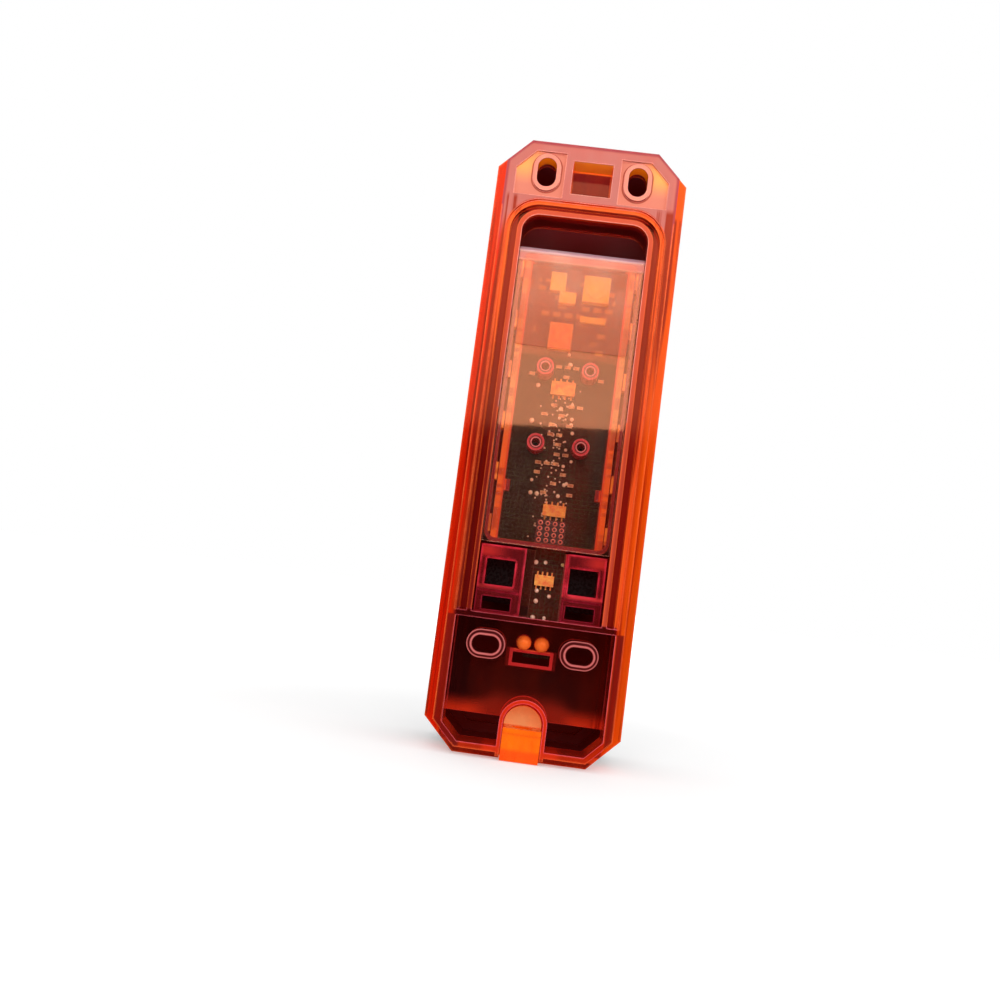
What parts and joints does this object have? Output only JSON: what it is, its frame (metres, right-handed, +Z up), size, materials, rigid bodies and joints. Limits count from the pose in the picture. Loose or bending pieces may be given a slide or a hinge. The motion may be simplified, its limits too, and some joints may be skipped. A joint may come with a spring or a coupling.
{
  "type": "gate safety photocell",
  "caption": "Slim wall-mounted infrared gate photocell: clear orange-red back housing with slotted fixings, sealed electronics module, terminals and a dark front cover.",
  "frame": {"origin": "on the wall face, midway between the two lower fixing slots", "axes": "+Z up along the body, +Y out of the wall face towards the wall, so the front faces -Y"},
  "size_m": [0.05, 0.034, 0.161],
  "materials": {
    "housing_clear": "clear orange-red moulding, polished",
    "cover_dark": "dark infrared-pass moulding, polished",
    "seal_rubber": "satin",
    "grommet_soft": "soft translucent",
    "tray_clear": "clear orange moulding",
    "lid_clear": "clear, high gloss",
    "film_frosted": "frosted",
    "frame_crimson": "clear crimson moulding",
    "board_green": "solder mask, satin",
    "holder_black": "satin",
    "lens_clear": "polished",
    "diode_dark": "tinted, polished",
    "relay_blue": "moulded",
    "light_red": "diffused",
    "part_pale": "ceramic and moulding compound",
    "part_amber": "moulding compound",
    "header_red": "moulded",
    "terminal_green": "moulded",
    "clamp_brass": "nickel-free, satin",
    "screw_tin": "zinc plated"
  },
  "bodies": {
    "housing": {"base_housing": "housing_clear", "cover_seal": "seal_rubber", "cable_grommet": "grommet_soft", "module_tray": "tray_clear", "module_lid": "lid_clear", "frosted_film": "film_frosted", "terminal_frame": "frame_crimson", "main_board": "board_green", "lens_holder": "holder_black", "lens": "lens_clear", "infrared_diode": "diode_dark", "output_relay": "relay_blue", "status_light": "light_red", "power_inductor": "part_pale", "smoothing_capacitors": "part_amber", "rectifier": "part_pale", "voltage_regulator": "part_amber", "control_chip": "part_amber", "driver_chip": "part_amber", "tongue_chip": "part_amber", "small_passives": "part_pale", "programming_header": "header_red", "supply_terminals": "terminal_green", "relay_terminals": "terminal_green", "terminal_clamps": "clamp_brass"},
    "cover": {"front_cover": "cover_dark"},
    "supply_screw_1": {"supply_screw_1": "screw_tin"},
    "supply_screw_2": {"supply_screw_2": "screw_tin"},
    "relay_screw_1": {"relay_screw_1": "screw_tin"},
    "relay_screw_2": {"relay_screw_2": "screw_tin"},
    "relay_screw_3": {"relay_screw_3": "screw_tin"}
  },
  "joints": [
    {"name": "cover_pull", "type": "slide", "parent": "housing", "child": "cover", "axis": [0, -1, 0], "range_m": [0, 0.05]},
    {"name": "supply_screw_1_turn", "type": "hinge", "parent": "housing", "child": "supply_screw_1", "pos_m": [0.0128, -0.0226, 0.01795], "axis": [0, -1, 0], "range_deg": [0, 810]},
    {"name": "supply_screw_2_turn", "type": "hinge", "parent": "housing", "child": "supply_screw_2", "pos_m": [0.00898, -0.0226, 0.01795], "axis": [0, -1, 0], "range_deg": [0, 810]},
    {"name": "relay_screw_1_turn", "type": "hinge", "parent": "housing", "child": "relay_screw_1", "pos_m": [-0.0128, -0.0226, 0.01795], "axis": [0, -1, 0], "range_deg": [0, 810]},
    {"name": "relay_screw_2_turn", "type": "hinge", "parent": "housing", "child": "relay_screw_2", "pos_m": [-0.00898, -0.0226, 0.01795], "axis": [0, -1, 0], "range_deg": [0, 810]},
    {"name": "relay_screw_3_turn", "type": "hinge", "parent": "housing", "child": "relay_screw_3", "pos_m": [-0.00517, -0.0226, 0.01795], "axis": [0, -1, 0], "range_deg": [0, 810]}
  ]
}
